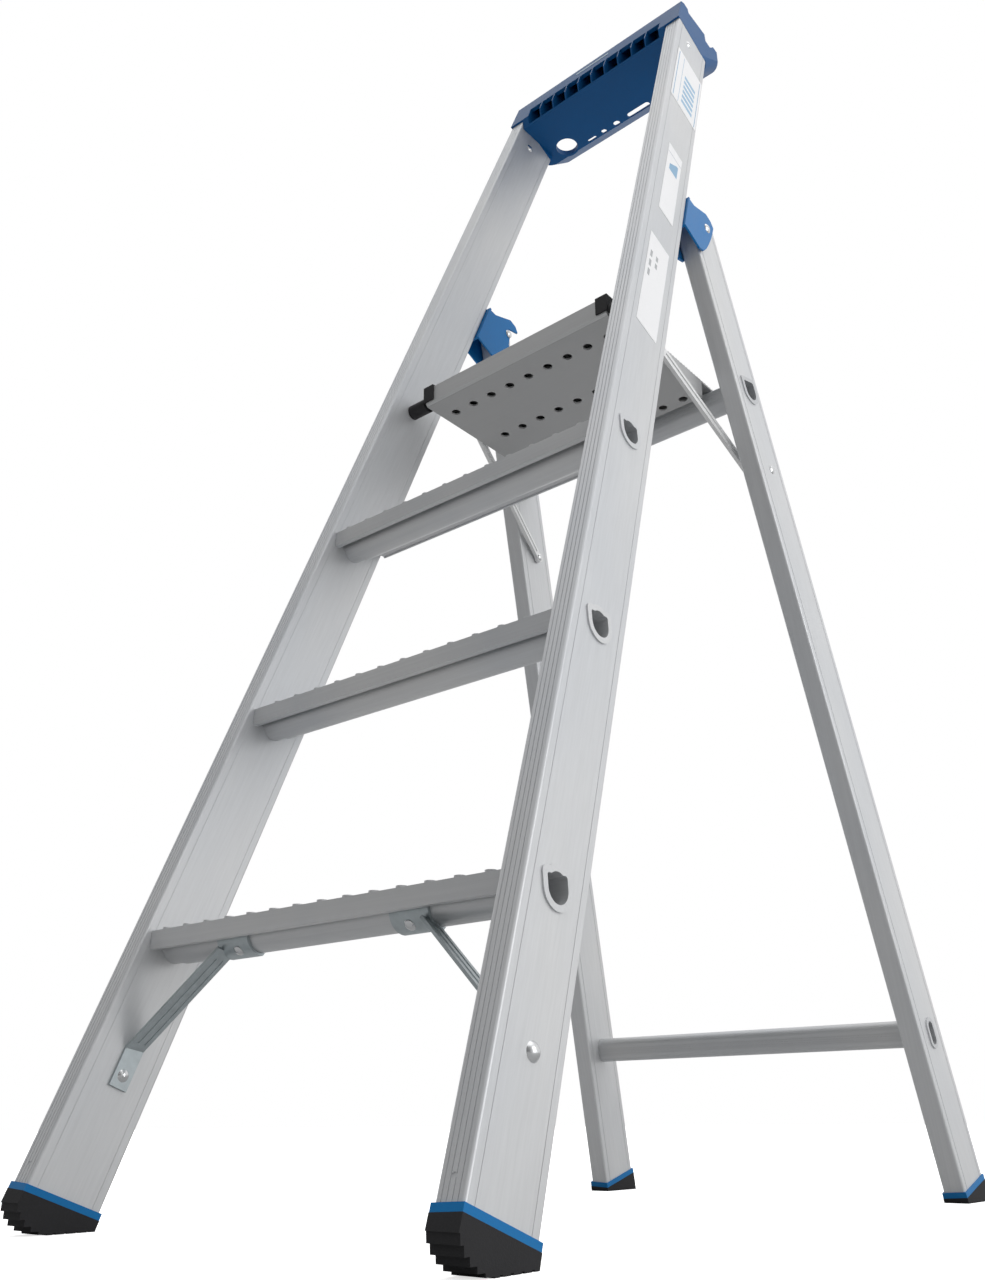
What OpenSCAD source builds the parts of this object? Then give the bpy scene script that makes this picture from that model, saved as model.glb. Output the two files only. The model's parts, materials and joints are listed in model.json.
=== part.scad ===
// Single-sided step ladder: three flanged treads, a folding platform, a tool tray and a braced rear frame.
// X runs across the ladder, the climbing side faces -Y and Z points up. The floor is Z = 0.

/* [Front frame] */
// Lean of the front frame from upright, in degrees
front_lean = 20.3; // [19:0.1:22]
// Width across the two stiles at floor level
base_width = 492; // [440:1:600]
// Inward slope of each stile, in degrees
taper = 3.38; // [3:0.02:3.8]
// Length of a stile tube
stile_length = 1580; // [1500:1:1900]
// Width of a stile tube, across the ladder
stile_w = 23; // [20:0.5:28]
// Depth of a stile tube, front to back
stile_d = 73; // [66:0.5:88]
// Wall of a stile tube
stile_wall = 1.8; // [1.4:0.1:2.4]

/* [Steps] */
// Height of the first tread above the floor
first_step_h = 246.5; // [220:0.5:270]
// Rise from one tread to the next
step_rise = 231.6; // [200:0.1:245]
// Depth of a tread, front to back
step_depth = 76; // [66:1:92]
// How far the nose of a tread sits behind the front of the stiles
step_setback = 6.4; // [4:0.2:9]
// Thickness of a tread plate
tread_t = 2.4; // [2:0.1:3.2]
// Height of the nose band of a tread
nose_h = 16.5; // [13:0.5:20]
// Distance from the nose to the chamber under a tread
chamber_setback = 12.5; // [10:0.5:16]
// Width of the chamber under a tread
chamber_w = 30; // [26:0.5:36]
// Depth of the chamber below the tread surface
chamber_h = 28; // [25:0.5:32]
// Wall of the chamber and of its neck
chamber_wall = 1.6; // [1.4:0.1:2]

/* [Platform] */
// Distance of the platform pivot up the stile from the floor
platform_pivot_s = 989.5; // [984:0.5:996]
// Distance of the platform pivot behind the front of the stiles
platform_pivot_depth = 33.3; // [31:0.1:37]
// Width of the platform
platform_w = 270; // [240:1:274]
// Depth of the platform box, up to the upper crossbar
platform_box_d = 204; // [170:1:206]
// Depth of the whole platform, with the lip behind the crossbar
platform_d = 253; // [251:0.5:258]
// Thickness of the platform
platform_t = 24.2; // [23.2:0.1:28]
// Sheet thickness of the platform
platform_sheet = 2.2; // [1.8:0.1:2.6]
// Diameter of the holes in the platform
platform_hole_d = 11; // [8:0.5:13]
// Spacing of the holes in a row
platform_hole_pitch = 28.7; // [26:0.1:30]

/* [Rear frame] */
// Lean of the rear frame from upright, in degrees
rear_lean = 15.2; // [14.4:0.1:16]
// Distance of the main hinge up the stile from the floor
hinge_s = 1241; // [1235:1:1247]
// Distance of the main hinge behind the front of the stiles
hinge_depth = 118; // [115:0.5:122]
// Width of a rear rail, across the ladder
rail_w = 23; // [18:0.5:24]
// Depth of a rear rail, front to back
rail_d = 60; // [50:0.5:66]
// Wall of a rear rail
rail_wall = 1.6; // [1.3:0.1:2.2]
// Distance of the upper crossbar below the hinge
upper_bar_s = 220; // [218:0.5:223]
// Depth of the upper crossbar, front to back
upper_bar_w = 28; // [25:0.5:30]
// Height of the upper crossbar
upper_bar_h = 30; // [28:0.5:34]
// Distance of the lower crossbar below the hinge
lower_bar_s = 986; // [850:1:1040]
// Depth of the lower crossbar, front to back
lower_bar_w = 18; // [15:0.5:22]
// Height of the lower crossbar
lower_bar_h = 29; // [26:0.5:38]
// Wall of the crossbars
bar_wall = 1.6; // [1.4:0.1:2]

/* [Hinge and links] */
// Diameter of the main hinge pins
hinge_pin_d = 7; // [6:0.5:9]
// Thickness of a cheek of the hinge brackets
cheek_t = 2.4; // [2:0.1:3]
// Distance of the lower link pivot below the hinge
link_lower_s = 323.5; // [320:0.5:328]
// Distance of the upper link pivot behind the platform pivot
link_upper_y = 94.5; // [92:0.5:97]
// Height of the upper link pivot above the platform pivot
link_upper_z = 5.5; // [4:0.5:7]
// Width of a link bar
link_w = 11; // [7:0.5:12]
// Thickness of a link bar
link_t = 4.6; // [3:0.1:5]
// Diameter of the link rivets
link_rivet_d = 5; // [4:0.5:6]

/* [Tray] */
// Height of the tray floor above the ground
tray_floor_z = 1504; // [1500:1:1510]
// Wall of the tray
tray_wall = 3; // [2.4:0.1:4]
// Spacing of the ribs under the grip
tray_rib_pitch = 23.5; // [20:0.5:28]
// Diameter of the round tool hole
tool_hole_d = 33; // [28:0.5:38]

/* [Feet and braces] */
// Distance of the end of a stile tube above the floor, at its front
front_foot_h = 43; // [38:0.5:48]
// Distance of the end of a rear rail above the floor, on the hinge line
rear_foot_h = 20.5; // [19:0.5:26]
// Height of the collar band of a foot
collar_h = 5.5; // [4.5:0.5:8]
// Distance of the brace bolt up the stile from the floor
brace_bolt_s = 146; // [140:1:152]
// Distance of a brace rivet from the middle of the ladder
brace_rivet_x = 101; // [96:1:108]
// Width of a brace
brace_w = 18; // [15:0.5:20]

/* [Fits] */
// Gap between parts that are pressed or flanged together
seat_gap = 0.15; // [0.1:0.05:0.25]
// Radial clearance of a running fit
run_gap = 0.06; // [0.03:0.01:0.1]
// Gap between a moving part and its neighbour
move_gap = 0.8; // [0.6:0.1:1]
// Gap on each side of a rail inside its hinge bracket
hinge_gap = 1.6; // [1.5:0.1:2]

/* [Hidden] */
$fn = 48;
far = 400;
eps = 0.01;

// Colours
alu = [0.80, 0.81, 0.82];
zinc = [0.66, 0.70, 0.73];
blue = [0.02, 0.34, 0.60];
black = [0.13, 0.13, 0.13];
steel = [0.74, 0.75, 0.76];
paper = [0.93, 0.94, 0.95];

// A point given by its depth behind the stile fronts and its distance up the front frame, as [y, z]
function front_yz(depth, s) = [
    s * sin(front_lean) + depth * cos(front_lean),
    s * cos(front_lean) - depth * sin(front_lean)
];
// A point given by its depth and its distance below the hinge in the rear frame, as [y, z]
function rear_yz(y, s) = [
    pivot_yz[0] + y * cos(rear_lean) + s * sin(rear_lean),
    pivot_yz[1] + y * sin(rear_lean) - s * cos(rear_lean)
];
// Half of the outer width across the stiles at a distance up the front frame
function half_outer(s) = base_width / 2 - s * tan(taper);
// Distance along a sloping tube for a distance along its frame
function up(s) = s / cos(taper);
// Radius of a dome from its base diameter and its height
function dome_r(d, h) = (d * d / 4 + h * h) / (2 * h);

stile_end = (front_foot_h + stile_length) * cos(taper);
proud = 1.4;
stem_h = 30;

// Steps
function step_z(i) = first_step_h + (i - 1) * step_rise;
function step_y(i) = step_z(i) * tan(front_lean) + step_setback;
function step_half(i) = half_outer(step_z(i) / cos(front_lean));
chamber_y = chamber_setback + chamber_w / 2;
neck_w = chamber_w - 2 * chamber_wall;
neck_h = chamber_h - 2 * chamber_wall;
flange_w = 3.6;
flange_t = 1.4;
shoulder = 18;
shoulder_rise = 11;
bump_pitch = 29.2;
bump_d = 9;
bump_h = 1.8;
rib_pitch = 6;
rib_h = 0.8;
rear_lip_h = 3.6;

// Main hinge and rear frame
pivot_yz = front_yz(hinge_depth, hinge_s);
rail_setback = 33.3;
rail_above = 17;
rail_round = 20;
rail_below = pivot_yz[1] / cos(rear_lean) - rear_foot_h;
half_cheek = half_outer(hinge_s) + 2.6;
rail_outer = half_cheek - cheek_t - hinge_gap;
inner_cheek = rail_outer - rail_w - hinge_gap - cheek_t;
function rail_half(s) = rail_outer + s * tan(taper);
bracket_rivet_s = [hinge_s - 46, hinge_s - 10];
lower_bar_y = -2.5;

// Platform, measured from its pivot
deck_yz = front_yz(platform_pivot_depth, platform_pivot_s);
deck_front = -8;
deck_under = -7.5;
deck_rear = deck_front + platform_box_d;
deck_end = deck_front + platform_d;
deck_top = deck_under + platform_t;
lip_h = 11;
cap_t = 2.5;
edge_cut = 3;
bush_d = 18;
pin_d = 8;
pin_in = platform_w / 2 - 12;
pin_out = half_outer(platform_pivot_s) - stile_w + 5;
bush_in = platform_w / 2 + cap_t + move_gap;

// Links
link_lower = rear_yz(-1, link_lower_s);
link_upper = [deck_yz[0] + link_upper_y, deck_yz[1] + link_upper_z];
link_lower_x = rail_half(link_lower_s) - rail_w - move_gap - link_t / 2 - 0.4;
link_upper_x = platform_w / 2 + 2 * move_gap + link_t / 2;
eye_d = link_w + 2;
head_h = 2;

// Tray
tray_half = half_outer(stile_end) + 0.3;
tray_skin = 2.5;
tray_front = front_yz(-tray_skin, stile_end);
band_top = front_yz(-tray_skin, stile_end + 49);
tray_y0 = tray_front[0];
tray_h = 66;
tray_rear = tray_y0 + 90.3;
tray_back = tray_y0 + 126.3;
flare_h = 32;
rear_wall_lean = atan((tray_back - tray_rear) / flare_h);
lip_z = 37.5;
lip_half = 108;
grip_back = 36.3;
pocket_rise = 20;
tray_rivet_depth = 29.5;
tray_rivet_s = stile_end - 30;
label_t = 0.3;
// Labels on a stile: distance up the frame, length, first depth and last depth
labels = [[1412, 133, 9, 70], [1151, 152, 23, 53], [922, 168, 17, 55]];

// Brace
clip_y = step_y(1) + chamber_y;
clip_z = first_step_h - chamber_h;
brace_t = 2.4;
arm_t = 2.6;
arm_roll = 16;
clip_turn = 42;
clip_w = 25;
brace_depth = 38.5;
bend_s = 168;
clip_in = 84;
clip_out = 124;
rivet_d = 5;

// The part is centred on its foot print
toe_y = front_yz(-proud, 26)[0];
heel_y = rear_yz(rail_d - rail_setback + proud, pivot_yz[1] / cos(rear_lean) + 6.6)[0];
mid_y = (toe_y + heel_y) / 2;

// ---------- shared shapes ----------

module in_place() translate([0, -mid_y, 0]) children();

// Axes of the right stile: X out of its outer face, Y into its depth, Z up along it
module stile_space()
    rotate([-front_lean, 0, 0]) translate([base_width / 2, 0, 0]) rotate([0, -taper, 0]) children();

// Axes of the rear frame at its hinge line
module rear_space() translate([0, pivot_yz[0], pivot_yz[1]]) rotate([rear_lean, 0, 0]) children();

// Axes of the right rear rail: X out of its outer face, Z up along it from the hinge line
module rail_space() rear_space() translate([rail_outer, 0, 0]) rotate([0, -taper, 0]) children();

module deck_space() translate([0, deck_yz[0], deck_yz[1]]) children();

module step_space(i) translate([0, step_y(i), step_z(i)]) children();

module both_sides() {
    children();
    mirror([1, 0, 0]) children();
}

module rounded_rect(w, d, r) {
    translate([r, 0]) square([w - 2 * r, d]);
    translate([0, r]) square([w, d - 2 * r]);
    for (x = [r, w - r], y = [r, d - r]) translate([x, y]) circle(r = r, $fn = 24);
}

// Section with a flat top at y = 0 and a round bottom
module u_section(w, h, r) {
    translate([0, w / 2 - h]) circle(d = w);
    translate([-w / 2, w / 2 - h]) square([w, h - w / 2 - r]);
    translate([r - w / 2, -h + w / 2]) square([w - 2 * r, h - w / 2]);
    for (x = [r - w / 2, w / 2 - r]) translate([x, -r]) circle(r = r, $fn = 24);
}

// Upright section with two round ends, centred on the origin
module stadium(w, h) {
    for (z = [w / 2 - h / 2, h / 2 - w / 2]) translate([0, z]) circle(d = w);
    translate([-w / 2, w / 2 - h / 2]) square([w, h - w]);
}

// Extrudes a section drawn in Y and Z along X, from x0 to x1
module along_x(x0, x1) translate([x0, 0, 0]) rotate([90, 0, 90]) linear_extrude(x1 - x0) children();

module x_rod(d, x0, x1) translate([x0, 0, 0]) rotate([0, 90, 0]) cylinder(d = d, h = x1 - x0);

// Domed head that rises along +X from x = 0
module x_head(d, h) rotate([0, 90, 0]) rotate_extrude() intersection() {
    translate([0, h - dome_r(d, h)]) circle(r = dome_r(d, h));
    square([d, h]);
}

// Flat bar from p to q, w wide and t thick, with its ends square
module bar_between(p, q, w, t, before, after, roll = 0) {
    v = q - p;
    reach = norm(v);
    translate(p) rotate([0, acos(v[2] / reach), atan2(v[1], v[0])]) rotate([0, 0, roll])
        translate([-w / 2, -t / 2, -before]) cube([w, t, reach + before + after]);
}

// Everything outside the inner faces of the stiles
module beyond_stiles(gap) both_sides() stile_space()
    translate([-stile_w - gap, -far, -far]) cube([2 * far, 2 * far, 6 * far]);

// Everything outside a plane x beyond the outer faces of the stiles
module beyond_outer(x) both_sides() stile_space()
    translate([x, -far, -far]) cube([2 * far, 2 * far, 6 * far]);

// ---------- stiles ----------

module stile_section() difference() {
    rounded_rect(stile_w, stile_d, 2.5);
    translate([stile_wall, stile_wall]) square([stile_w - 2 * stile_wall, stile_d - 2 * stile_wall]);
    for (x = [5, 9.3, 13.6, 17.9]) translate([x - 0.4, -0.4]) square([0.8, 0.8]);
    for (x = [0, stile_w], y = [9, stile_d - 9]) translate([x - 0.3, y - 0.5]) square([0.6, 1]);
}

module right_stile() color(alu) in_place() difference() {
    stile_space() difference() {
        translate([-stile_w, 0, front_foot_h]) linear_extrude(stile_length) stile_section();
        tray_rivet_shank(seat_gap);
        brace_bolt_shank(seat_gap);
        bracket_rivet_shanks(seat_gap);
        translate([-stile_w / 2, -1, up(58)]) rotate([-90, 0, 0]) cylinder(d = 4, h = 1.6);
    }
    for (i = [1:3]) step_space(i) along_x(0, far) neck_section(seat_gap);
    deck_space() x_rod(pin_d + 2 * seat_gap, pin_in, pin_out);
}

module left_stile() mirror([1, 0, 0]) right_stile();

// ---------- steps ----------

module neck_section(gap) translate([chamber_y, gap - chamber_wall])
    u_section(neck_w + 2 * gap, neck_h + 2 * gap, 3);

module tread_section() {
    translate([0, -tread_t]) square([step_depth, tread_t]);
    translate([0, -nose_h]) square([2.2, nose_h]);
    translate([0, -nose_h]) square([6, 1.8]);
    translate([step_depth - 2, -rear_lip_h]) square([2, rear_lip_h]);
    for (y = [2 * rib_pitch:rib_pitch:step_depth - 2]) translate([y, 0]) square([1.6, rib_h]);
}

module step(i) color(alu) in_place() difference() {
    union() {
        difference() {
            step_space(i) {
                along_x(-far, far) tread_section();
                step_chamber(step_half(i) - stile_w);
            }
            beyond_stiles(seat_gap);
        }
        difference() {
            step_space(i) along_x(-far, far) neck_section(0);
            beyond_outer(flange_t);
        }
        step_flanges(i);
        step_space(i) bump_rows(i) translate([0, 0, -eps]) cylinder(d = bump_d, h = bump_h, $fn = 24);
    }
    step_space(i) {
        along_x(-far, far) translate([chamber_y, -2 * chamber_wall])
            u_section(neck_w - 2 * chamber_wall, neck_h - 2 * chamber_wall, 2);
        bump_rows(i) translate([0, 0, -tread_t - eps]) cylinder(d = bump_d - 2, h = 1, $fn = 24);
    }
    if (i == 1) brace_rivet_shanks(seat_gap);
}

module step_chamber(inner) difference() {
    along_x(-far, far) translate([chamber_y, 0]) u_section(chamber_w, chamber_h, 2);
    both_sides() translate([inner - shoulder, 0, -chamber_h])
        rotate([0, -atan(shoulder_rise / shoulder), 0]) translate([0, 0, -far]) cube(far);
}

module bump_rows(i) {
    count = floor((step_half(i) - stile_w - 8) / bump_pitch + 0.5);
    for (k = [0.5 - count:1:count - 0.5]) translate([k * bump_pitch, 5, 0]) children();
}

module step_flanges(i) intersection() {
    step_space(i) along_x(-far, far) translate([chamber_y, flange_w - chamber_wall])
        u_section(neck_w + 2 * flange_w, neck_h + 2 * flange_w, 5);
    both_sides() stile_space() translate([0, -far, -far]) cube([flange_t, 2 * far, 6 * far]);
}

module step_1() step(1);
module step_2() step(2);
module step_3() step(3);

// ---------- tray ----------

// Side view of the whole tray
module tray_side() polygon([
    [tray_y0 + 5, tray_floor_z - 12],
    tray_front,
    band_top,
    [band_top[0] + 8, tray_floor_z + tray_h],
    [tray_y0 + grip_back - 1, tray_floor_z + tray_h - 1.5],
    [tray_y0 + grip_back, tray_floor_z + tray_h - 8.5],
    [tray_y0 + 82, tray_floor_z + tray_h - 8],
    [tray_y0 + 82, tray_floor_z + tray_h - 21],
    [tray_y0 + 94, tray_floor_z + tray_h - 23],
    [tray_y0 + 99, tray_floor_z + tray_h - 19],
    [tray_y0 + 106, tray_floor_z + tray_h - 11],
    [tray_y0 + 112, tray_floor_z + tray_h - 11],
    [tray_back - 4, tray_floor_z + tray_h - 12],
    [tray_back, tray_floor_z + tray_h - 21],
    [tray_back, tray_floor_z + flare_h],
    [tray_rear, tray_floor_z],
    [tray_rear - 17, tray_floor_z],
    [tray_rear - 19, tray_floor_z - 12]
]);

// Side view of the open box behind the grip
module cavity_side() polygon([
    [tray_y0 + grip_back + 3, tray_floor_z + tray_wall],
    [tray_y0 + grip_back + 3, tray_floor_z + tray_h + 10],
    [tray_back, tray_floor_z + tray_h + 10],
    [tray_back, tray_floor_z + flare_h + tray_wall],
    [tray_rear, tray_floor_z + tray_wall]
]);

// Plan view with rounded rear corners, its rear edge on y = 0
module tray_plan(inset, round) {
    half = tray_half - inset;
    r = round - inset;
    translate([-half, -250]) square([2 * half, 250 - inset - r]);
    translate([r - half, -250]) square([2 * half - 2 * r, 250 - inset]);
    for (x = [r - half, half - r]) translate([x, -inset - r]) circle(r = r);
}

// Sides that follow the stiles, a flared lower part and an upright upper part of the rear wall
module tray_walls(inset) difference() {
    intersection() {
        translate([0, tray_back + 1.3, tray_floor_z - 20]) linear_extrude(tray_h + 60) tray_plan(inset, 24);
        translate([0, tray_rear, tray_floor_z]) rotate([-rear_wall_lean, 0, 0]) translate([0, 0, -130])
            linear_extrude(330) tray_plan(inset, 20);
    }
    beyond_outer(0.3 - inset);
}

// Middle of the rear wall above the low lip
module lip_cut() translate([0, tray_back + 20, tray_floor_z]) rotate([90, 0, 0]) linear_extrude(60) polygon([
    [-lip_half, lip_z], [lip_half, lip_z], [lip_half + 12, tray_h + 10], [-lip_half - 12, tray_h + 10]
]);

// Pockets between the ribs of the grip, open to the front below the band
module grip_pockets() {
    half = half_outer(stile_end) - stile_w - 2;
    count = floor(2 * half / tray_rib_pitch);
    for (k = [0:count - 1]) {
        x = (k - (count - 1) / 2) * tray_rib_pitch;
        along_x(x - tray_rib_pitch / 2 + 0.9, x + tray_rib_pitch / 2 - 0.9) polygon([
            [tray_y0 - 30, tray_floor_z + tray_wall],
            [tray_y0 + grip_back - tray_wall, tray_floor_z + tray_wall],
            [tray_y0 + grip_back - tray_wall, tray_floor_z + tray_h - tray_wall],
            [band_top[0] + tray_wall + 1, tray_floor_z + tray_h - tray_wall],
            front_yz(tray_wall, stile_end + pocket_rise),
            front_yz(-20, stile_end + pocket_rise)
        ]);
    }
}

module slot(x0, x1, w) {
    for (x = [x0 + w / 2, x1 - w / 2]) translate([x, 0]) circle(d = w);
    translate([x0 + w / 2, -w / 2]) square([x1 - x0 - w, w]);
}

module tool_holes() translate([0, tray_rear - 4, tray_floor_z - 20]) linear_extrude(40) {
    slot(-67, -51, 5);
    slot(-41, -32, 8.5);
    slot(-18.5, -7.5, 10.5);
    slot(7, 46, 10.5);
}

module tool_rim(d, h) translate([-98, tray_rear - 17, tray_floor_z]) cylinder(d = d, h = h);

// Plug inside the top of the right stile
module tray_tongue() stile_space() {
    w = stile_w - 2 * stile_wall - 2 * seat_gap;
    d = stile_d - 2 * stile_wall - 2 * seat_gap;
    top = front_foot_h + stile_length;
    translate([seat_gap + stile_wall - stile_w, stile_wall + seat_gap, top - 44]) difference() {
        cube([w, d, 46]);
        translate([3, 3, -1]) cube([w - 6, d - 6, 44]);
    }
}

module tray_rivet_shank(gap) translate([0, tray_rivet_depth, up(tray_rivet_s)])
    x_rod(rivet_d + 2 * gap, -stile_w - gap - eps, gap + eps);

module tool_tray() color(blue) in_place() difference() {
    union() {
        difference() {
            intersection() {
                along_x(-tray_half, tray_half) tray_side();
                tray_walls(0);
            }
            intersection() {
                along_x(-tray_half, tray_half) cavity_side();
                tray_walls(tray_wall);
            }
            lip_cut();
            grip_pockets();
            both_sides() stile_space()
                translate([-stile_w - seat_gap, -far, front_foot_h + stile_length - far])
                cube([stile_w + 20, far + stile_d + seat_gap, far + seat_gap]);
            tray_underside();
        }
        both_sides() tray_tongue();
        tool_rim(tool_hole_d + 6, 9);
    }
    tool_holes();
    translate([0, 0, -20]) tool_rim(tool_hole_d, 60);
    both_sides() stile_space() tray_rivet_shank(seat_gap);
}

// Everything below the floor, between the skirts over the stiles
module tray_underside() difference() {
    translate([-far, 0, tray_floor_z - far]) cube([2 * far, 2 * far, far]);
    beyond_stiles(0);
}

module tray_rivets() color(steel) in_place() both_sides() stile_space() {
    tray_rivet_shank(0);
    translate([0, tray_rivet_depth, up(tray_rivet_s)]) {
        x_head(11, 2.2);
        translate([-stile_w, 0, 0]) mirror([1, 0, 0]) x_head(11, 2.2);
    }
}

module tray_label() color(paper) in_place() rotate([-front_lean, 0, 0])
    translate([-33, -tray_skin - label_t - 0.02, stile_end + 34]) cube([58, label_t, 5]);

module stile_labels() color(paper) in_place() stile_space() for (l = labels)
    translate([0.02, l[2], up(l[0])]) cube([label_t, l[3] - l[2], l[1]]);

// ---------- hinge brackets ----------

// Cheek outline: depth behind the stile fronts, distance up from the hinge
module cheek_outline() polygon([
    [stile_d + seat_gap, -56], [hinge_depth - 10, -58], [hinge_depth, -50], [hinge_depth + 4, -40],
    [hinge_depth + 8, -24], [hinge_depth + 11, -8], [hinge_depth + 12.5, 4], [hinge_depth + 13.5, 19.5],
    [hinge_depth + 6, 25], [hinge_depth - 6, 25.3], [hinge_depth - 21, 14], [hinge_depth - 32, 6],
    [stile_d + seat_gap, 4]
]);

module hook_notch() polygon([
    [hinge_depth + 20, -30], [hinge_depth + 7, -14], [hinge_depth + 4.6, -4], [hinge_depth + 4.6, 3],
    [hinge_depth + 1, 6.5], [hinge_depth - 4, 9], [hinge_depth + 13, 18.2], [hinge_depth + 20, 20]
]);

module cheek_at(x) translate([x - half_outer(hinge_s), 0, up(hinge_s)]) along_x(0, cheek_t) children();

module bracket_rivet_shanks(gap) for (s = bracket_rivet_s)
    translate([-stile_w / 2, stile_d - stile_wall - gap, up(s)]) rotate([-90, 0, 0])
    cylinder(d = rivet_d + 2 * gap, h = stile_wall + 3 + seat_gap + 2 * gap);

module right_hinge_bracket() color(blue) in_place() difference() {
    stile_space() difference() {
        union() {
            cheek_at(half_cheek - cheek_t) cheek_outline();
            cheek_at(inner_cheek) difference() {
                cheek_outline();
                hook_notch();
            }
            translate([inner_cheek - half_outer(hinge_s), stile_d + seat_gap, up(hinge_s) - 56])
                cube([half_cheek - inner_cheek, 3, 63]);
        }
        bracket_rivet_shanks(seat_gap);
    }
    rear_space() x_rod(hinge_pin_d + 2 * seat_gap, 0, far);
}

module left_hinge_bracket() mirror([1, 0, 0]) right_hinge_bracket();

module bracket_rivets() color(steel) in_place() both_sides() stile_space() {
    bracket_rivet_shanks(0);
    for (s = bracket_rivet_s) translate([-stile_w / 2, stile_d + 3 + seat_gap, up(s)])
        rotate([0, 0, 90]) x_head(9, 1.8);
}

module right_hinge_pin() color(steel) in_place() rear_space() {
    x_rod(hinge_pin_d, inner_cheek - 0.5, half_cheek + 0.5);
    translate([half_cheek + 0.35, 0, 0]) x_head(hinge_pin_d + 5, 2.6);
    translate([inner_cheek - 0.35, 0, 0]) mirror([1, 0, 0]) x_head(hinge_pin_d + 5, 2.6);
}

module left_hinge_pin() mirror([1, 0, 0]) right_hinge_pin();

// ---------- front feet ----------

sole_y = 37;
toe_h = 25;
toe_steps = 6;

// World region in front of and below the stepped toe, and below the floor
module toe_cut() along_x(0, far) polygon(concat(
    [[-60, -60], [far, -60], [far, 0], [sole_y, 0]],
    [for (k = [0:toe_steps - 1], j = [0, 1])
        [sole_y - (sole_y - toe_y) * sin((k + j) * 90 / toe_steps), toe_h * (1 - cos((k + 1) * 90 / toe_steps))]],
    [[-60, toe_h]]
));

module sole_grooves(y0) for (k = [0:3]) along_x(0, far)
    translate([y0 + 10 * k, -1]) square([2.5, 2.2]);

module right_front_foot() color(black) in_place() difference() {
    stile_space() {
        translate([-stile_w - proud, -proud, -20])
            cube([stile_w + 2 * proud, stile_d + 2 * proud, 20 + front_foot_h - collar_h]);
        translate([6 - stile_w, 12, 30]) cube([stile_w - 12, stile_d - 24, front_foot_h - collar_h - 27]);
    }
    toe_cut();
    sole_grooves(sole_y + 5);
}

module left_front_foot() mirror([1, 0, 0]) right_front_foot();

// Band with a hollow stem inside the end of a tube that ends at z = 0 and runs towards +Z
module collar(w, d, wall) difference() {
    union() {
        translate([-w - proud + 0.2, -proud + 0.2, -collar_h])
            cube([w + 2 * proud - 0.4, d + 2 * proud - 0.4, collar_h]);
        translate([wall + seat_gap - w, wall + seat_gap, -1])
            cube([w - 2 * wall - 2 * seat_gap, d - 2 * wall - 2 * seat_gap, stem_h + 1]);
    }
    translate([wall + 3 - w, wall + 3, 1]) cube([w - 2 * wall - 6, d - 2 * wall - 6, stem_h]);
    translate([6 - w - seat_gap, 12 - seat_gap, -collar_h - 1])
        cube([w - 12 + 2 * seat_gap, d - 24 + 2 * seat_gap, 4 + seat_gap]);
}

module right_front_collar() color(blue) in_place() stile_space() translate([0, 0, front_foot_h])
    collar(stile_w, stile_d, stile_wall);

module left_front_collar() mirror([1, 0, 0]) right_front_collar();

// ---------- braces ----------

arm_foot = [half_outer(bend_s) - stile_w - 1.4, front_yz(brace_depth, bend_s)[0], front_yz(brace_depth, bend_s)[1]];
clip_r = chamber_w / 2 + seat_gap + brace_t / 2;
arm_head = [
    clip_out - 3, clip_y - clip_r * sin(clip_turn), clip_z + chamber_w / 2 - clip_r * cos(clip_turn)
];

module brace_bolt_shank(gap) translate([0, brace_depth, up(brace_bolt_s)])
    x_rod(6 + 2 * gap, -stile_w - brace_t - seat_gap - gap - eps, gap + eps);

// Axes on the round bottom of the first chamber, Z running inwards through it
module clip_space() translate([0, clip_y, clip_z + chamber_w / 2]) rotate([-clip_turn, 0, 0])
    translate([0, 0, -chamber_w / 2]) children();

module brace_rivet_shanks(gap) both_sides() clip_space() translate([brace_rivet_x, 0, -brace_t - 1])
    cylinder(d = rivet_d + 2 * gap, h = brace_t + 1 + 2 * chamber_wall + gap);

// Saddle that hugs the front of the round bottom of the first chamber
module brace_clip() along_x(clip_in, clip_out) translate([clip_y, clip_z + chamber_w / 2])
    rotate(-clip_turn) intersection() {
        difference() {
            circle(d = chamber_w + 2 * seat_gap + 2 * brace_t);
            circle(d = chamber_w + 2 * seat_gap);
        }
        translate([-clip_w / 2, -chamber_w]) square([clip_w, chamber_w]);
    }

module brace_arm() {
    run = arm_head - arm_foot;
    difference() {
        bar_between(arm_foot, arm_head, arm_t, brace_w, 12, 2, arm_roll);
        translate(arm_foot) rotate([0, acos(run[2] / norm(run)), atan2(run[1], run[0])]) rotate([0, 0, arm_roll])
            for (x = [-arm_t / 2, arm_t / 2], y = [-3.5, 3.5])
            translate([x - 0.6, y - 1.5, 8]) cube([1.2, 3, norm(run) - 16]);
        beyond_stiles(seat_gap);
        step_space(1) along_x(0, far) translate([chamber_y, 0])
            u_section(chamber_w + brace_t, chamber_h + brace_t / 2, 2);
    }
}

module right_brace() color(zinc) in_place() difference() {
    union() {
        brace_clip();
        brace_arm();
        stile_space() translate([-stile_w - seat_gap - brace_t, brace_depth - brace_w / 2, up(135)])
            cube([brace_t, brace_w, up(bend_s - 135) + 2]);
    }
    stile_space() brace_bolt_shank(seat_gap);
    brace_rivet_shanks(seat_gap);
}

module left_brace() mirror([1, 0, 0]) right_brace();

module brace_bolts() color(steel) in_place() both_sides() stile_space() {
    brace_bolt_shank(0);
    translate([0, brace_depth, up(brace_bolt_s)]) x_head(14, 4);
    translate([-stile_w - brace_t - seat_gap, brace_depth, up(brace_bolt_s)])
        mirror([1, 0, 0]) x_head(11, 2.5);
}

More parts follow.
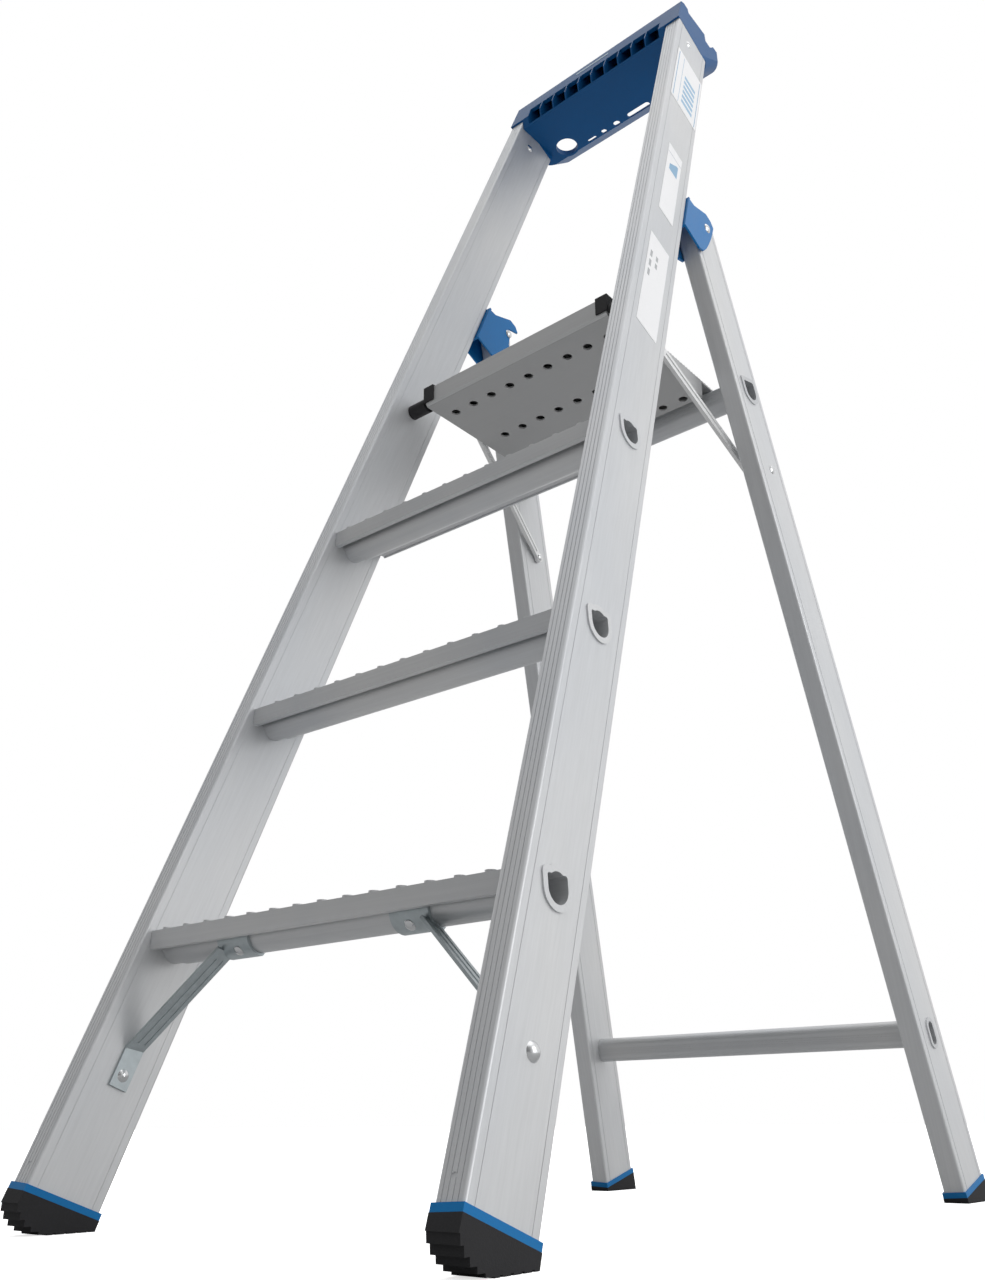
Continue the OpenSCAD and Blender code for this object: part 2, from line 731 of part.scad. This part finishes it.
module brace_rivets() color(steel) in_place() {
    brace_rivet_shanks(0);
    both_sides() clip_space() translate([brace_rivet_x, 0, -seat_gap - brace_t - 0.05])
        rotate([0, 90, 0]) x_head(10, 2.2);
}

// ---------- platform pivots ----------

module right_pivot_bush() color(black) in_place() difference() {
    deck_space() x_rod(bush_d, bush_in, far);
    deck_space() x_rod(pin_d + 2 * seat_gap, 0, far);
    beyond_stiles(seat_gap);
}

module left_pivot_bush() mirror([1, 0, 0]) right_pivot_bush();

module right_pivot_pin() color(steel) in_place() deck_space() x_rod(pin_d, pin_in, pin_out - 0.5);

module left_pivot_pin() mirror([1, 0, 0]) right_pivot_pin();

// ---------- rear frame ----------

module rail_profile() {
    r = rail_round;
    y0 = -rail_setback;
    translate([y0 - 1, -far * 4]) square([rail_d + 2, far * 4 + rail_above - r]);
    translate([y0 + r, 0]) square([rail_d - 2 * r, rail_above]);
    for (y = [y0 + r, y0 + rail_d - r]) translate([y, rail_above - r]) circle(r = r);
}

module upper_neck(grow) translate([0, upper_neck_h / 2 - upper_bar_s + grow])
    u_section(upper_neck_w + 2 * grow, upper_neck_h + 2 * grow, 3);

upper_neck_w = upper_bar_w - 1;
upper_neck_h = upper_bar_h - 2;
lower_neck_w = lower_bar_w - 2 * bar_wall;
lower_neck_h = lower_bar_h - 1;

module lower_neck(grow) translate([lower_bar_y, -lower_bar_s])
    stadium(lower_neck_w + 2 * grow, lower_neck_h + 2 * grow);

module link_rivet_rod(gap, x0, x1) translate([0, -1, -link_lower_s])
    x_rod(link_rivet_d + 2 * gap, x0, x1);

module right_rear_rail() color(alu) in_place() difference() {
    intersection() {
        rail_space() translate([-rail_w, -rail_setback, -up(rail_below)])
            linear_extrude(up(rail_below) + 30) difference() {
                rounded_rect(rail_w, rail_d, 2.5);
                translate([rail_wall, rail_wall]) square([rail_w - 2 * rail_wall, rail_d - 2 * rail_wall]);
                for (x = [0, rail_w], y = [8, rail_d - 8]) translate([x - 0.3, y - 0.5]) square([0.6, 1]);
            }
        rear_space() along_x(0, far) rail_profile();
    }
    rear_space() {
        x_rod(hinge_pin_d + 2 * run_gap, 0, far);
        along_x(0, far) {
            upper_neck(seat_gap);
            lower_neck(seat_gap);
        }
        link_rivet_rod(seat_gap, 0, far);
    }
    rail_relief();
}

// Behind the pin the inner side of the tube end is cut away
module rail_relief() rail_space()
    translate([-rail_w - 1, hinge_pin_d / 2 + 2, -19]) cube([rail_w + 1 - rail_wall, rail_d, 60]);

module left_rear_rail() mirror([1, 0, 0]) right_rear_rail();

// Everything outside a plane x beyond the outer faces of the rails
module beyond_rails(x) both_sides() rail_space()
    translate([x, -far, -5 * far]) cube([2 * far, 2 * far, 6 * far]);

// Ring against the outer faces of the rails
module rail_rings() intersection() {
    rear_space() along_x(-far, far) children();
    both_sides() rail_space() translate([0, -far, -5 * far]) cube([flange_t, 2 * far, 6 * far]);
}

module upper_crossbar() color(alu) in_place() difference() {
    union() {
        difference() {
            rear_space() along_x(-far, far) difference() {
                translate([0, upper_bar_h / 2 - upper_bar_s]) u_section(upper_bar_w, upper_bar_h, 3);
                for (k = [-3:4]) translate([-upper_bar_w / 2 - 0.5, 3 * k - upper_bar_s]) square([1, 1.2]);
            }
            beyond_rails(-rail_w - seat_gap);
        }
        difference() {
            rear_space() along_x(-far, far) upper_neck(0);
            beyond_rails(flange_t);
        }
        rail_rings() upper_neck(flange_w);
    }
    rear_space() along_x(-far, far) upper_neck(-bar_wall);
}

module lower_crossbar() color(alu) in_place() difference() {
    union() {
        difference() {
            rear_space() along_x(-far, far) translate([lower_bar_y, -lower_bar_s]) difference() {
                stadium(lower_bar_w, lower_bar_h);
                for (z = [-3.6, -1.2, 1.2, 3.6]) translate([-lower_bar_w / 2 - 0.5, z - 0.5]) square([0.9, 1]);
            }
            beyond_rails(-rail_w - seat_gap);
        }
        difference() {
            rear_space() along_x(-far, far) lower_neck(0);
            beyond_rails(flange_t);
        }
        rail_rings() lower_neck(flange_w - 1);
    }
    rear_space() along_x(-far, far) lower_neck(-bar_wall);
}

module lower_link_rivets() color(steel) in_place() both_sides() rear_space() {
    outer = rail_half(link_lower_s);
    inner = link_lower_x - link_t / 2;
    link_rivet_rod(0, inner - 0.5, outer + 0.5);
    translate([outer + 0.35, -1, -link_lower_s]) x_head(2 * link_rivet_d, head_h);
    translate([inner - 0.4, -1, -link_lower_s]) mirror([1, 0, 0]) x_head(2 * link_rivet_d, head_h);
}

module right_rear_foot() color(black) in_place() difference() {
    rail_space() {
        translate([-rail_w - proud, -rail_setback - proud, -up(rail_below) - 60])
            cube([rail_w + 2 * proud, rail_d + 2 * proud, 60 - collar_h]);
        translate([6 - rail_w, 12 - rail_setback, -up(rail_below) - collar_h - 4])
            cube([rail_w - 12, rail_d - 24, 7]);
    }
    translate([0, 0, -far]) cube([far, 3 * far, far]);
    sole_grooves(heel_y - 52);
}

module left_rear_foot() mirror([1, 0, 0]) right_rear_foot();

module right_rear_collar() color(blue) in_place()
    rail_space() translate([0, -rail_setback, -up(rail_below)]) collar(rail_w, rail_d, rail_wall);

module left_rear_collar() mirror([1, 0, 0]) right_rear_collar();

// ---------- platform ----------

module deck_section() {
    polygon([
        [deck_front + edge_cut, deck_under], [deck_rear, deck_under], [deck_rear, deck_top],
        [deck_front, deck_top], [deck_front, deck_under + edge_cut]
    ]);
    translate([deck_front, deck_top - platform_sheet]) square([platform_d, platform_sheet]);
    translate([deck_end - platform_sheet, deck_top - lip_h]) square([platform_sheet, lip_h]);
    for (y = [0:rib_pitch:deck_end - 3]) translate([y, deck_top]) square([1.6, rib_h]);
}

module platform_deck() color(alu) in_place() deck_space() difference() {
    along_x(-platform_w / 2, platform_w / 2) deck_section();
    difference() {
        along_x(platform_sheet - platform_w / 2, platform_w / 2 - platform_sheet)
            translate([deck_front + platform_sheet, deck_under + platform_sheet])
            square([platform_box_d - 2 * platform_sheet, platform_t - 2 * platform_sheet]);
        both_sides() x_rod(13, platform_w / 2 - 9, platform_w / 2);
    }
    both_sides() x_rod(pin_d + 2 * run_gap, pin_in - 5, platform_w / 2 + 1);
    deck_holes(8, 25);
    deck_holes(7, 103);
    deck_holes(8, 184);
}

// A row of gaps + 1 holes through the underside
module deck_holes(gaps, y) for (k = [-gaps / 2:gaps / 2])
    translate([k * platform_hole_pitch, y, deck_under - 1]) cylinder(d = platform_hole_d, h = platform_sheet + 2);

module right_corner_cap() color(black) in_place() deck_space() difference() {
    translate([platform_w / 2 - 13, deck_front - 2, deck_under + 5])
        cube([13 + cap_t, 22, platform_t - 5 + rib_h + 1]);
    translate([-far, deck_front - seat_gap, deck_under - far])
        cube([far + platform_w / 2 + seat_gap, far, far + platform_t + rib_h + seat_gap]);
    x_rod(pin_d + 2 * run_gap, 0, far);
}

module left_corner_cap() mirror([1, 0, 0]) right_corner_cap();

// ---------- links ----------

module right_link() color(zinc) in_place() {
    low = [link_lower_x, link_lower[0], link_lower[1]];
    high = [link_upper_x, link_upper[0], link_upper[1]];
    run = high - low;
    difference() {
        union() {
            for (p = [low, high]) translate(p) x_rod(eye_d, -link_t / 2, link_t / 2);
            bar_between(low, high, link_w, link_t, -3, -3);
        }
        translate(low) x_rod(link_rivet_d + 2 * run_gap, -5, 5);
        translate(high) x_rod(link_rivet_d + 2 * seat_gap, -5, 5);
        for (p = [low, high]) translate(p) {
            x_rod(2 * link_rivet_d + 0.8, link_t / 2, link_t / 2 + 6);
            x_rod(2 * link_rivet_d + 0.8, -link_t / 2 - 6, -link_t / 2);
        }
        translate(low) rotate([0, acos(run[2] / norm(run)), atan2(run[1], run[0])])
            for (y = [-link_t / 2, link_t / 2]) translate([-1.8, y - 1, 10])
            cube([3.6, 2, norm(run) - 20]);
    }
}

module left_link() mirror([1, 0, 0]) right_link();

// The shank stops short of the platform
module right_link_rivet() color(steel) in_place()
    translate([link_upper_x, link_upper[0], link_upper[1]]) {
        x_rod(link_rivet_d, -link_t / 2 - move_gap, link_t / 2 + 0.3);
        translate([link_t / 2 + 0.05, 0, 0]) x_head(2 * link_rivet_d, head_h);
    }

module left_link_rivet() mirror([1, 0, 0]) right_link_rivet();

left_stile();
right_stile();
step_1();
step_2();
step_3();
tool_tray();
tray_rivets();
tray_label();
stile_labels();
left_hinge_bracket();
right_hinge_bracket();
bracket_rivets();
left_hinge_pin();
right_hinge_pin();
left_front_foot();
right_front_foot();
left_front_collar();
right_front_collar();
left_brace();
right_brace();
brace_bolts();
brace_rivets();
left_pivot_bush();
right_pivot_bush();
left_pivot_pin();
right_pivot_pin();
left_rear_rail();
right_rear_rail();
upper_crossbar();
lower_crossbar();
left_rear_foot();
right_rear_foot();
left_rear_collar();
right_rear_collar();
lower_link_rivets();
platform_deck();
left_corner_cap();
right_corner_cap();
left_link();
right_link();
left_link_rivet();
right_link_rivet();
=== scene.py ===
"""Looks of the step ladder: materials, light, floor and the camera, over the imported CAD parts."""

import json
import math
import bpy
from mathutils import Euler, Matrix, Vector


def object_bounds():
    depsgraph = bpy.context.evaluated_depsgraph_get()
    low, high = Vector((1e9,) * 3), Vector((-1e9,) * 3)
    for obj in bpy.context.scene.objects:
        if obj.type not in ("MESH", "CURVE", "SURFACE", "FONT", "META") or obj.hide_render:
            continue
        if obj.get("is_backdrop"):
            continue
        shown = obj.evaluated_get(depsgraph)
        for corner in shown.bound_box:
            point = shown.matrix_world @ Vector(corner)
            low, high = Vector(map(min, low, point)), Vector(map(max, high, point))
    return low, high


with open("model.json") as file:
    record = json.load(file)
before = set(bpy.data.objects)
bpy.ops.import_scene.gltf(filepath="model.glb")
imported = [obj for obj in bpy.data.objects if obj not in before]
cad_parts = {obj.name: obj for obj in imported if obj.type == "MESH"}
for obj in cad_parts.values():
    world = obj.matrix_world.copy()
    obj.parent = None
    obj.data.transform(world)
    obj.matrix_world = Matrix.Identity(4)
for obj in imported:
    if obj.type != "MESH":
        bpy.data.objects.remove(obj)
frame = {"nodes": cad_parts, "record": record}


def write_bounds(out):
    low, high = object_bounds()
    out.append([list(low), list(high)])


sizes = []
write_bounds(sizes)

LEAN = math.radians(20.3)
REAR = math.radians(15.2)
TAPER = math.radians(3.38)

# Sockets of a colour Mix node
MIX_A, MIX_B, MIX_OUT = 6, 7, 2
# Shares of the fine grain and of the broad wear in a surface's pattern
FINE_SHARE, BROAD_SHARE = 0.55, 0.45
# Where the pattern's darkest and lightest tones are reached
TONE_LOW, TONE_HIGH = 0.32, 0.68
BUMP_DEPTH = 0.0004
# Height below which the deck's base colour is painted darker, as painted shade
DECK_UNDERSIDE_Z = 0.9096
MM_PER_M = 1000


# ---------------------------------------------------------------- node helpers

class Nodes:
    """A small builder for one material's node tree."""

    def __init__(self, name):
        self.mat = bpy.data.materials.new(name)
        self.mat.use_nodes = True
        self.tree = self.mat.node_tree
        self.bsdf = self.tree.nodes["Principled BSDF"]

    def add(self, kind, **props):
        n = self.tree.nodes.new(kind)
        for key, value in props.items():
            setattr(n, key, value)
        return n

    def link(self, a, b):
        self.tree.links.new(a, b)

    def coords(self, axes, scale):
        """Part coordinates with x mirrored, measured along three axes and scaled."""
        tc = self.add("ShaderNodeTexCoord")
        sep = self.add("ShaderNodeSeparateXYZ")
        self.link(tc.outputs["Object"], sep.inputs[0])
        ab = self.add("ShaderNodeMath", operation="ABSOLUTE")
        self.link(sep.outputs[0], ab.inputs[0])
        mirrored = self.add("ShaderNodeCombineXYZ")
        self.link(ab.outputs[0], mirrored.inputs[0])
        self.link(sep.outputs[1], mirrored.inputs[1])
        self.link(sep.outputs[2], mirrored.inputs[2])
        out = self.add("ShaderNodeCombineXYZ")
        for i in range(3):
            dot = self.add("ShaderNodeVectorMath", operation="DOT_PRODUCT")
            self.link(mirrored.outputs[0], dot.inputs[0])
            dot.inputs[1].default_value = [c * scale[i] for c in axes[i]]
            self.link(dot.outputs["Value"], out.inputs[i])
        return out.outputs[0]

    def noise(self, vector, scale, detail=3.0, rough=0.55):
        n = self.add("ShaderNodeTexNoise")
        n.inputs["Scale"].default_value = scale
        n.inputs["Detail"].default_value = detail
        n.inputs["Roughness"].default_value = rough
        self.link(vector, n.inputs["Vector"])
        return n.outputs["Fac"]

    def ramp(self, fac, stops):
        n = self.add("ShaderNodeValToRGB")
        cr = n.color_ramp
        while len(cr.elements) < len(stops):
            cr.elements.new(0.5)
        for e, (pos, col) in zip(cr.elements, stops):
            e.position = pos
            e.color = (*col, 1.0)
        self.link(fac, n.inputs["Fac"])
        return n.outputs["Color"]

    def remap(self, fac, low, high):
        n = self.add("ShaderNodeMapRange")
        n.inputs["From Min"].default_value = 0.3
        n.inputs["From Max"].default_value = 0.7
        n.inputs["To Min"].default_value = low
        n.inputs["To Max"].default_value = high
        self.link(fac, n.inputs["Value"])
        return n.outputs["Result"]

    def bump(self, height, strength, distance):
        n = self.add("ShaderNodeBump")
        n.inputs["Strength"].default_value = strength
        n.inputs["Distance"].default_value = distance
        self.link(height, n.inputs["Height"])
        self.link(n.outputs["Normal"], self.bsdf.inputs["Normal"])


def shade(color, k):
    return tuple(max(0.0, min(1.0, c * k)) for c in color)


def surface(name, color, metallic, rough, axes, stretch, grain=400.0, wear=9.0, spread=0.06,
            bump=0.08, specular=0.5):
    """Base colour, roughness and bump from a stretched grain and a broad wear pattern."""
    m = Nodes(name)
    fine = m.noise(m.coords(axes, stretch), grain, 4.0, 0.6)
    broad = m.noise(m.coords(axes, [math.sqrt(s) for s in stretch]), wear, 5.0, 0.6)
    mix = m.add("ShaderNodeMath", operation="MULTIPLY_ADD")
    m.link(fine, mix.inputs[0])
    mix.inputs[1].default_value = FINE_SHARE
    worn = m.add("ShaderNodeMath", operation="MULTIPLY")
    m.link(broad, worn.inputs[0])
    worn.inputs[1].default_value = BROAD_SHARE
    m.link(worn.outputs[0], mix.inputs[2])
    tones = [(TONE_LOW, shade(color, 1 - spread)), (TONE_HIGH, shade(color, 1 + spread))]
    m.link(m.ramp(mix.outputs[0], tones), m.bsdf.inputs["Base Color"])
    m.bsdf.inputs["Metallic"].default_value = metallic
    m.bsdf.inputs["Specular IOR Level"].default_value = specular
    m.link(m.remap(mix.outputs[0], rough - 0.06, rough + 0.08), m.bsdf.inputs["Roughness"])
    m.bump(fine, bump, BUMP_DEPTH)
    return m


WORLD = [(1, 0, 0), (0, 1, 0), (0, 0, 1)]
STILE = [
    (math.cos(TAPER), 0, 0),
    (0, math.cos(LEAN), -math.sin(LEAN)),
    (-math.sin(TAPER), math.sin(LEAN), math.cos(LEAN)),
]
RAIL = [
    (math.cos(TAPER), 0, 0),
    (0, math.cos(REAR), math.sin(REAR)),
    (-math.sin(TAPER), -math.sin(REAR), math.cos(REAR)),
]
FRONT = [(1, 0, 0), (0, math.cos(LEAN), -math.sin(LEAN)), (0, math.sin(LEAN), math.cos(LEAN))]
ALONG_Z = (1, 1, 0.012)
ALONG_X = (0.012, 1, 1)
EVEN = (1, 1, 1)
# Front frame coordinates start at the stile fronts on the floor
MID_Y = 0.44144
DEPTH_0 = MID_Y * math.cos(LEAN)
RISE_0 = MID_Y * math.sin(LEAN)


class Masks:
    """Rectangles and slanted edges drawn on a surface in its own two coordinates."""

    def __init__(self, m, vector, across, along):
        self.m = m
        sep = m.add("ShaderNodeSeparateXYZ")
        m.link(vector, sep.inputs[0])
        self.across = sep.outputs[across]
        self.along = sep.outputs[along]

    def math(self, op, a, b):
        n = self.m.add("ShaderNodeMath", operation=op)
        for i, v in enumerate((a, b)):
            if isinstance(v, (int, float)):
                n.inputs[i].default_value = v
            else:
                self.m.link(v, n.inputs[i])
        return n.outputs[0]

    def between(self, value, low, high):
        above = self.math("GREATER_THAN", value, low)
        below = self.math("LESS_THAN", value, high)
        return self.math("MULTIPLY", above, below)

    def box(self, a0, a1, b0, b1):
        return self.math("MULTIPLY", self.between(self.across, a0, a1), self.between(self.along, b0, b1))

    def either(self, masks):
        out = masks[0]
        for k in masks[1:]:
            out = self.math("MAXIMUM", out, k)
        return out


def paint(m, mask, color):
    """Lays a colour over what already feeds the base colour, where the mask is 1."""
    socket = m.bsdf.inputs["Base Color"]
    below = socket.links[0].from_socket
    mix = m.add("ShaderNodeMix", data_type="RGBA")
    m.link(mask, mix.inputs[0])
    m.link(below, mix.inputs[MIX_A])
    mix.inputs[MIX_B].default_value = (*color, 1.0)
    m.link(mix.outputs[MIX_OUT], socket)


def label_film():
    """Three pale films on the right stile with plain generic marks, placed in mm along the stile."""
    m = surface("stile_label_film", (0.90, 0.905, 0.92), 0.0, 0.38, STILE, EVEN, 500, 16, 0.03, 0.05)
    k = Masks(m, m.coords(FRONT, EVEN), 1, 2)

    def box(d0, d1, s0, s1):
        depths = (v / MM_PER_M - DEPTH_0 for v in (d0, d1))
        heights = (v / MM_PER_M - RISE_0 for v in (s0, s1))
        return k.box(*depths, *heights)

    # Top film: upright lines and a block of bars
    lines = [box(13, 14.6, 1416, 1540), box(65, 66.6, 1416, 1540), box(25, 25.8, 1416, 1540)]
    paint(m, k.either(lines), (0.26, 0.43, 0.60))
    bars = [box(32, 58, s, s + 8) for s in range(1428, 1494, 13)]
    paint(m, k.either(bars), (0.30, 0.50, 0.70))
    # Middle film: a thin line and a cornered patch
    paint(m, box(24, 52, 1284, 1285.5), (0.45, 0.50, 0.56))
    corner = (1262 - 30) / MM_PER_M - RISE_0 + DEPTH_0
    wedge = k.math("LESS_THAN", k.math("SUBTRACT", k.along, k.across), corner)
    paint(m, k.math("MULTIPLY", box(30, 47, 1250, 1276), wedge), (0.22, 0.42, 0.62))
    # Bottom film: five small grey marks
    marks = [box(22, 26, s, s + 12) for s in (1010, 1028, 1046)]
    marks += [box(33, 37, s, s + 9) for s in (1036, 1050)]
    paint(m, k.either(marks), (0.42, 0.43, 0.45))
    return m.mat


def deck_metal():
    """Satin deck whose lower part, below the underside height, gets a darker base colour as painted
    shade under the deck.
    """
    m = surface("deck_aluminium", (0.58, 0.585, 0.59), 0.35, 0.46, WORLD, ALONG_X)
    k = Masks(m, m.coords(WORLD, EVEN), 1, 2)
    # Painted shade: the base colour below the deck's underside height is darker, standing in for the
    # shade under the deck
    paint(m, k.math("LESS_THAN", k.along, DECK_UNDERSIDE_Z), (0.43, 0.435, 0.44))
    return m.mat


def cloudy(m, axes, scale, low, high):
    """Broad soft blotches over the base colour, as on handled mill-finish metal."""
    socket = m.bsdf.inputs["Base Color"]
    below = socket.links[0].from_socket
    fac = m.remap(m.noise(m.coords(axes, (1, 1, 0.45)), scale, 2.5, 0.5), 0.0, 1.0)
    tone = m.ramp(fac, [(0.0, low), (1.0, high)])
    mix = m.add("ShaderNodeMix", data_type="RGBA", blend_type="MULTIPLY")
    mix.inputs[0].default_value = 1.0
    m.link(below, mix.inputs[MIX_A])
    m.link(tone, mix.inputs[MIX_B])
    m.link(mix.outputs[MIX_OUT], socket)
    return m.mat


def metal(name, color, axes, stretch, rough=0.42, metallic=0.45):
    m = surface(name, color, metallic, rough, axes, stretch)
    return cloudy(m, axes, 7.0, (0.88, 0.90, 0.93), (1, 1, 1))


def plastic(name, color, rough, spread=0.10, bump=0.15, specular=0.25, grain=900, wear=14):
    return surface(name, color, 0.0, rough, WORLD, EVEN, grain, wear, spread, bump, specular).mat


def steel(name, color, rough, metallic=0.8, grain=160, spread=0.12):
    return surface(name, color, metallic, rough, WORLD, EVEN, grain, 24, spread, 0.10).mat


mats = {
    "stile_aluminium": metal("stile_aluminium", (0.66, 0.665, 0.67), STILE, ALONG_Z),
    "rail_aluminium": metal("rail_aluminium", (0.68, 0.685, 0.69), RAIL, ALONG_Z),
    "tread_aluminium": metal("tread_aluminium", (0.66, 0.665, 0.67), WORLD, ALONG_X),
    "deck_aluminium": deck_metal(),
    "crossbar_aluminium": metal("crossbar_aluminium", (0.60, 0.605, 0.61), WORLD, ALONG_X),
    "link_aluminium": steel("link_aluminium", (0.78, 0.785, 0.79), 0.38, 0.5, 200, 0.06),
    "tray_plastic": plastic("tray_plastic", (0.0015, 0.088, 0.27), 0.45),
    "bracket_paint": plastic("bracket_paint", (0.001, 0.165, 0.46), 0.38, 0.08, 0.10, 0.3, 700, 12),
    "collar_plastic": plastic("collar_plastic", (0.001, 0.165, 0.44), 0.42, 0.08),
    "foot_rubber": plastic("foot_rubber", (0.020, 0.020, 0.022), 0.72, 0.25, 0.35, 0.3, 700, 30),
    "cap_plastic": plastic("cap_plastic", (0.014, 0.014, 0.016), 0.50, 0.2, 0.2, 0.4, 900, 20),
    "bush_plastic": plastic("bush_plastic", (0.016, 0.016, 0.018), 0.45, 0.2, 0.2, 0.4, 900, 20),
    "zinc_steel": steel("zinc_steel", (0.46, 0.51, 0.53), 0.38, 0.7),
    "fastener_steel": steel("fastener_steel", (0.66, 0.67, 0.68), 0.22, 1.0, 300, 0.08),
    "tray_label_film": plastic("tray_label_film", (0.20, 0.34, 0.46), 0.35, 0.04, 0.05, 0.5, 500, 16),
    "stile_label_film": label_film(),
}

slots = {s["node"]: s["material_slot"] for s in frame["record"]["subparts"]}
for name, obj in frame["nodes"].items():
    obj.data.materials.clear()
    obj.data.materials.append(mats[slots[name]])

# ---------------------------------------------------------------- floor and light

# Pale to the eye, grey to the light that falls on the ladder
floor_mat = surface("floor", (0.46, 0.46, 0.46), 0.0, 0.75, WORLD, EVEN, 60, 2, 0.01, 0.02, 0.1)
seen = floor_mat.add("ShaderNodeLightPath")
pale = floor_mat.add("ShaderNodeBsdfDiffuse")
pale.inputs["Color"].default_value = (0.9, 0.9, 0.9, 1)
glow = floor_mat.add("ShaderNodeEmission")
glow.inputs["Strength"].default_value = 0.7
both = floor_mat.add("ShaderNodeAddShader")
floor_mat.link(pale.outputs[0], both.inputs[0])
floor_mat.link(glow.outputs[0], both.inputs[1])
pick = floor_mat.add("ShaderNodeMixShader")
floor_mat.link(seen.outputs["Is Camera Ray"], pick.inputs[0])
floor_mat.link(floor_mat.bsdf.outputs[0], pick.inputs[1])
floor_mat.link(both.outputs[0], pick.inputs[2])
floor_mat.link(pick.outputs[0], floor_mat.tree.nodes["Material Output"].inputs["Surface"])
bpy.ops.mesh.primitive_plane_add(size=60, location=(0, 0, 0))
floor = bpy.context.object
floor.name = "floor"
floor.data.materials.append(floor_mat.mat)
floor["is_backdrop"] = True

# A studio that is white all round to the eye and lights the part from the back, the sides and above
world = bpy.data.worlds.new("studio")
bpy.context.scene.world = world
world.use_nodes = True
tree = world.node_tree
back = tree.nodes["Background"]
back.inputs["Color"].default_value = (1, 1, 1, 1)


def world_node(kind, **props):
    n = tree.nodes.new(kind)
    for key, value in props.items():
        setattr(n, key, value)
    return n


def ramp_on(value, f0, f1, t0, t1):
    n = world_node("ShaderNodeMapRange", interpolation_type="SMOOTHSTEP")
    for key, v in zip(("From Min", "From Max", "To Min", "To Max"), (f0, f1, t0, t1)):
        n.inputs[key].default_value = v
    tree.links.new(value, n.inputs["Value"])
    return n.outputs["Result"]


way = world_node("ShaderNodeSeparateXYZ")
tree.links.new(world_node("ShaderNodeTexCoord").outputs["Generated"], way.inputs[0])
frontal = ramp_on(way.outputs[1], -0.75, 0.10, 0.20, 0.95)
overhead = ramp_on(way.outputs[2], 0.70, 0.95, 0.0, 0.7)
total = world_node("ShaderNodeMath", operation="ADD")
tree.links.new(frontal, total.inputs[0])
tree.links.new(overhead, total.inputs[1])
tree.links.new(total.outputs[0], back.inputs["Strength"])
plain = world_node("ShaderNodeBackground")
plain.inputs["Color"].default_value = (1, 1, 1, 1)
plain.inputs["Strength"].default_value = 1.0
eye = world_node("ShaderNodeLightPath")
choose = world_node("ShaderNodeMixShader")
tree.links.new(eye.outputs["Is Camera Ray"], choose.inputs[0])
tree.links.new(back.outputs[0], choose.inputs[1])
tree.links.new(plain.outputs[0], choose.inputs[2])
tree.links.new(choose.outputs[0], tree.nodes["World Output"].inputs["Surface"])


def area(name, place, target, size, power):
    light = bpy.data.lights.new(name, "AREA")
    light.shape = "RECTANGLE"
    light.size, light.size_y = size
    light.energy = power
    o = bpy.data.objects.new(name, light)
    bpy.context.scene.collection.objects.link(o)
    o.location = place
    o.rotation_euler = (Vector(target) - Vector(place)).to_track_quat("-Z", "Y").to_euler()


area("key", (2.8, 0.4, 1.2), (0, 0.1, 0.6), (1.4, 2.2), 22)
area("edge", (0.9, -2.6, 1.9), (0, 0, 0.7), (0.35, 1.6), 3)

# ---------------------------------------------------------------- camera

# Place in metres and turn in degrees, fitted to the photograph's view
CAMERA_PLACE = (0.71563, -0.96102, 0.08089)
CAMERA_TURN = (110.52954, 0.38844, 39.81808)
cam_data = bpy.data.cameras.new("camera")
cam_data.sensor_fit = "HORIZONTAL"
cam_data.sensor_width = 36
cam_data.lens = 42.667
cam_data.shift_x = -0.0080
cam_data.shift_y = 0.0477
cam = bpy.data.objects.new("camera", cam_data)
bpy.context.scene.collection.objects.link(cam)
cam.location = CAMERA_PLACE
cam.rotation_euler = Euler([math.radians(a) for a in CAMERA_TURN], "XYZ")
bpy.context.scene.camera = cam
bpy.context.scene.view_settings.view_transform = "Standard"

write_bounds(sizes)
